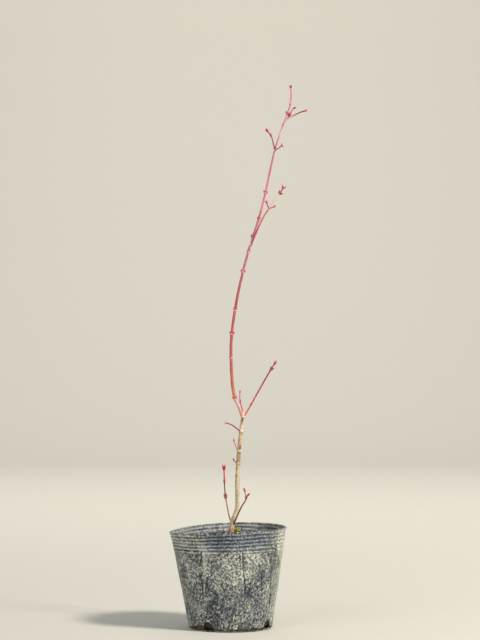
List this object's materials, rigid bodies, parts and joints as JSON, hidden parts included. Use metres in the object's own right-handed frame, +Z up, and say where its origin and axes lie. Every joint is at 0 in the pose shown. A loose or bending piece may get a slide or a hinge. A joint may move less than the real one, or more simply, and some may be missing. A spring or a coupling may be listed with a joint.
{
  "type": "potted japanese maple",
  "caption": "Young bare japanese maple: a thin leaning trunk that forks into a long red leader and side shoots with paired buds, in a ribbed soft plastic nursery pot of potting mix.",
  "frame": {"origin": "centre of the pot's flat underside", "axes": "+Z straight up along the pot and the plant, +X to the right and -Y towards the viewer of the pictured side"},
  "size_m": [0.1422, 0.12, 0.554],
  "materials": {
    "pot_plastic": "thin black soft polyethylene film, dull, streaked with dried pale mud",
    "potting_soil": "moist crumbly potting mix of bark, peat and fine grit",
    "moss": "soft yellow-green moss cushion",
    "trunk_bark": "smooth beige two-year bark with lenticels and pale leaf-scar collars",
    "leader_bark": "satin coral-red young bark with pale leaf-scar collars",
    "bough_bark": "satin crimson one-year bark",
    "twigs": "satin crimson twigs with coral swelling buds"
  },
  "bodies": {
    "root": {"pot": "pot_plastic", "potting_soil": "potting_soil", "moss_tuft": "moss", "trunk": "trunk_bark", "leader": "leader_bark", "side_bough": "bough_bark", "upper_bough": "bough_bark", "top_twigs": "twigs", "upper_bough_twigs": "twigs", "middle_left_twigs": "twigs", "middle_right_twigs": "twigs", "side_bough_twigs": "twigs", "rear_twig": "twigs", "left_twig": "twigs", "low_rear_twig": "twigs", "low_left_twig": "twigs", "left_basal_shoot": "twigs", "right_basal_shoot": "twigs"}
  },
  "joints": []
}
